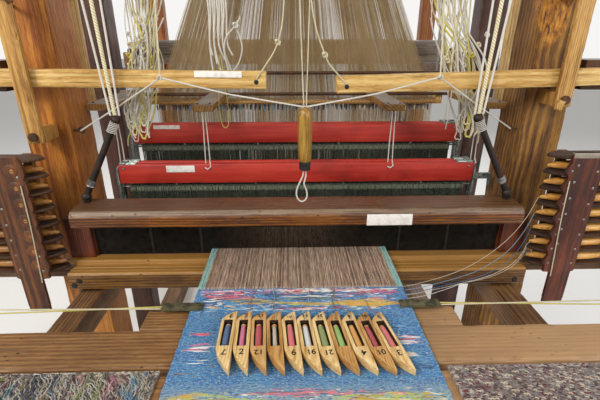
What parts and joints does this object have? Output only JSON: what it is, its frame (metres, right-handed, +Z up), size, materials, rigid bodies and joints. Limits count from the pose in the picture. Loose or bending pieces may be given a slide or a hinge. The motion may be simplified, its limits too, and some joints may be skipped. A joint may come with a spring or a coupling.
{
  "type": "hand loom",
  "caption": "Heavy wooden fly-shuttle hand loom with a swinging batten, stacked drop boxes, red heddle frames, a figured harness with comber board, and a blue brocade cloth on the breast beam.",
  "frame": {"origin": "middle of the bounding box's underside, on the floor", "axes": "+X to the weaver's right, +Y away from the weaver, +Z up"},
  "size_m": [2.264, 2.348, 2.64],
  "materials": {
    "golden_oak": "waxed oak with open grain and worn edges",
    "brown_oak": "old oiled oak, rough along its edges",
    "rail_wood": "plain softwood darkened by age",
    "dark_wood": "dark brown stain, dull",
    "pale_wood": "unfinished pine with straight grain",
    "iron": "black forged iron, slightly rusted",
    "griffe_steel": "plain bar steel",
    "roller_wood": "turned beech, darkened",
    "pale_roller": "pale turned wood with a layer of warp on it",
    "box_red_wood": "dark red-brown hardwood, oiled",
    "box_wood": "oiled hardwood shelves",
    "shuttle_wood": "polished boxwood",
    "picker_hide": "raw hide",
    "handle_wood": "turned and polished by hand",
    "arm_wood": "weathered, dusty tops",
    "comber_wood": "thin golden board with rows of holes",
    "reed_wire": "dark wire between wooden ribs",
    "red_bar": "red enamel bars with galvanised side irons",
    "harness_cord": "waxed linen harness cord with wire weights",
    "white_cord": "white cotton cord",
    "temple_cord": "cream and yellow cord",
    "brocade": "figured cloth in blues with bright wefts",
    "rug_yarn": "wool wrapping of many colours",
    "warp_yarn": "brown and mauve warp threads",
    "weft_yarn": "fine weft yarn"
  },
  "bodies": {
    "frame": {"floor_frame": "brown_oak", "side_rails": "rail_wood", "end_legs": "brown_oak", "front_post_left": "golden_oak", "front_post_right": "brown_oak", "inner_posts": "dark_wood", "top_frame": "rail_wood", "roller_rails": "rail_wood", "guide_straps": "pale_wood", "iron_fittings": "iron", "knee_board": "brown_oak", "under_board": "rail_wood", "breast_beam": "brown_oak", "breast_pads": "rug_yarn", "brocade_cloth": "brocade", "temple_cords": "temple_cord", "brocade_shuttles": "shuttle_wood", "picking_cords": "white_cord", "comber_board": "comber_wood", "harness_fixed": "harness_cord", "comber_hangers": "pale_wood", "head_frame": "rail_wood", "warp_sheet": "warp_yarn", "back_rest": "rail_wood"},
    "batten": {"handrail": "brown_oak", "reed": "reed_wire", "race_beam": "golden_oak", "hanger_rods": "iron", "batten_ropes": "white_cord", "rocking_bar": "rail_wood", "weft_yarn_1": "weft_yarn", "weft_yarn_2": "weft_yarn", "weft_yarn_3": "weft_yarn"},
    "drop_box_left": {"box_plate_left": "box_red_wood", "box_shelves_left": "box_wood", "box_shuttles_left": "shuttle_wood"},
    "drop_box_right": {"box_plate_right": "box_red_wood", "box_shelves_right": "box_wood", "box_shuttles_right": "shuttle_wood"},
    "picker_left": {"picker_left": "picker_hide"},
    "picker_right": {"picker_right": "picker_hide"},
    "box_lever_left": {"box_lever_left": "pale_wood"},
    "box_lever_right": {"box_lever_right": "pale_wood"},
    "picking_handle": {"picking_handle": "handle_wood", "handle_loop": "white_cord"},
    "shaft_1": {"heddle_frame_1": "red_bar"},
    "shaft_2": {"heddle_frame_2": "red_bar"},
    "shaft_3": {"heddle_frame_3": "red_bar"},
    "shaft_4": {"heddle_frame_4": "red_bar"},
    "inner_arms": {"jack_arms_inner": "arm_wood"},
    "outer_arms": {"jack_arms_outer": "arm_wood"},
    "griffe": {"griffe": "griffe_steel", "harness_lifted": "harness_cord"},
    "card_cylinder": {"card_cylinder": "roller_wood"},
    "treadle": {"treadle": "brown_oak"},
    "cloth_beam": {"cloth_beam": "roller_wood", "ratchet_wheel": "iron"},
    "pawl": {"pawl": "iron"},
    "warp_beam": {"warp_beam": "roller_wood"},
    "upper_roller": {"upper_roller": "pale_roller"}
  },
  "joints": [
    {"name": "batten_swing", "type": "hinge", "parent": "frame", "child": "batten", "pos_m": [0, -0.53, 2.15], "axis": [-1, 0, 0], "range_deg": [0, 8.5], "deforming": ["weft_yarn_1", "weft_yarn_2", "weft_yarn_3"]},
    {"name": "box_drop_left", "type": "slide", "parent": "batten", "child": "drop_box_left", "axis": [0, 0, 1], "range_m": [-0.282, 0]},
    {"name": "box_drop_right", "type": "slide", "parent": "batten", "child": "drop_box_right", "axis": [0, 0, 1], "range_m": [-0.282, 0], "deforming": ["weft_yarn_1", "weft_yarn_2", "weft_yarn_3"]},
    {"name": "pick_left", "type": "slide", "parent": "batten", "child": "picker_left", "axis": [1, 0, 0], "range_m": [0, 0.33]},
    {"name": "pick_right", "type": "slide", "parent": "batten", "child": "picker_right", "axis": [-1, 0, 0], "range_m": [0, 0.33]},
    {"name": "lever_lift_left", "type": "hinge", "parent": "frame", "child": "box_lever_left", "pos_m": [-0.88, -0.45, 1.41], "axis": [0, -1, 0], "range_deg": [0, 9]},
    {"name": "lever_lift_right", "type": "hinge", "parent": "frame", "child": "box_lever_right", "pos_m": [0.88, -0.45, 1.41], "axis": [0, 1, 0], "range_deg": [0, 9]},
    {"name": "handle_swing", "type": "hinge", "parent": "frame", "child": "picking_handle", "pos_m": [0.013, -0.585, 2.12], "axis": [0, 1, 0], "range_deg": [-8, 8], "deforming": ["picking_cords"]},
    {"name": "shaft_lift_1", "type": "slide", "parent": "frame", "child": "shaft_1", "axis": [0, 0, 1], "range_m": [0, 0.05]},
    {"name": "shaft_lift_2", "type": "slide", "parent": "frame", "child": "shaft_2", "axis": [0, 0, 1], "range_m": [0, 0.05]},
    {"name": "shaft_lift_3", "type": "slide", "parent": "frame", "child": "shaft_3", "axis": [0, 0, 1], "range_m": [0, 0.05]},
    {"name": "shaft_lift_4", "type": "slide", "parent": "frame", "child": "shaft_4", "axis": [0, 0, 1], "range_m": [0, 0.05]},
    {"name": "inner_arm_lift", "type": "hinge", "parent": "frame", "child": "inner_arms", "pos_m": [0, -0.035, 1.31], "axis": [-1, 0, 0], "range_deg": [0, 9.7]},
    {"name": "outer_arm_lift", "type": "hinge", "parent": "frame", "child": "outer_arms", "pos_m": [0, -0.035, 1.31], "axis": [-1, 0, 0], "range_deg": [0, 10.8]},
    {"name": "griffe_lift", "type": "slide", "parent": "frame", "child": "griffe", "axis": [0, 0, 1], "range_m": [0, 0.071]},
    {"name": "treadle_press", "type": "hinge", "parent": "frame", "child": "treadle", "pos_m": [0, 1.06, 0.272], "axis": [1, 0, 0], "range_deg": [0, 6.5]},
    {"name": "card_turn", "type": "hinge", "parent": "frame", "child": "card_cylinder", "pos_m": [0, -0.2, 2.43], "axis": [1, 0, 0], "continuous": true},
    {"name": "cloth_beam_turn", "type": "hinge", "parent": "frame", "child": "cloth_beam", "pos_m": [0, -1, 0.64], "axis": [1, 0, 0], "continuous": true},
    {"name": "pawl_lift", "type": "hinge", "parent": "frame", "child": "pawl", "pos_m": [-0.596, -0.875, 0.675], "axis": [-1, 0, 0], "range_deg": [0, 40]},
    {"name": "warp_beam_turn", "type": "hinge", "parent": "frame", "child": "warp_beam", "pos_m": [0, 1, 0.56], "axis": [1, 0, 0], "continuous": true},
    {"name": "upper_roller_turn", "type": "hinge", "parent": "frame", "child": "upper_roller", "pos_m": [0, 0.35, 1.447], "axis": [1, 0, 0], "continuous": true}
  ],
  "couplings": [
    {"joint": "inner_arm_lift", "follows": "shaft_lift_1", "rad_per_m": 3.3333},
    {"joint": "outer_arm_lift", "follows": "shaft_lift_2", "rad_per_m": 3.7037},
    {"joint": "griffe_lift", "follows": "treadle_press", "m_per_rad": 0.617}
  ]
}
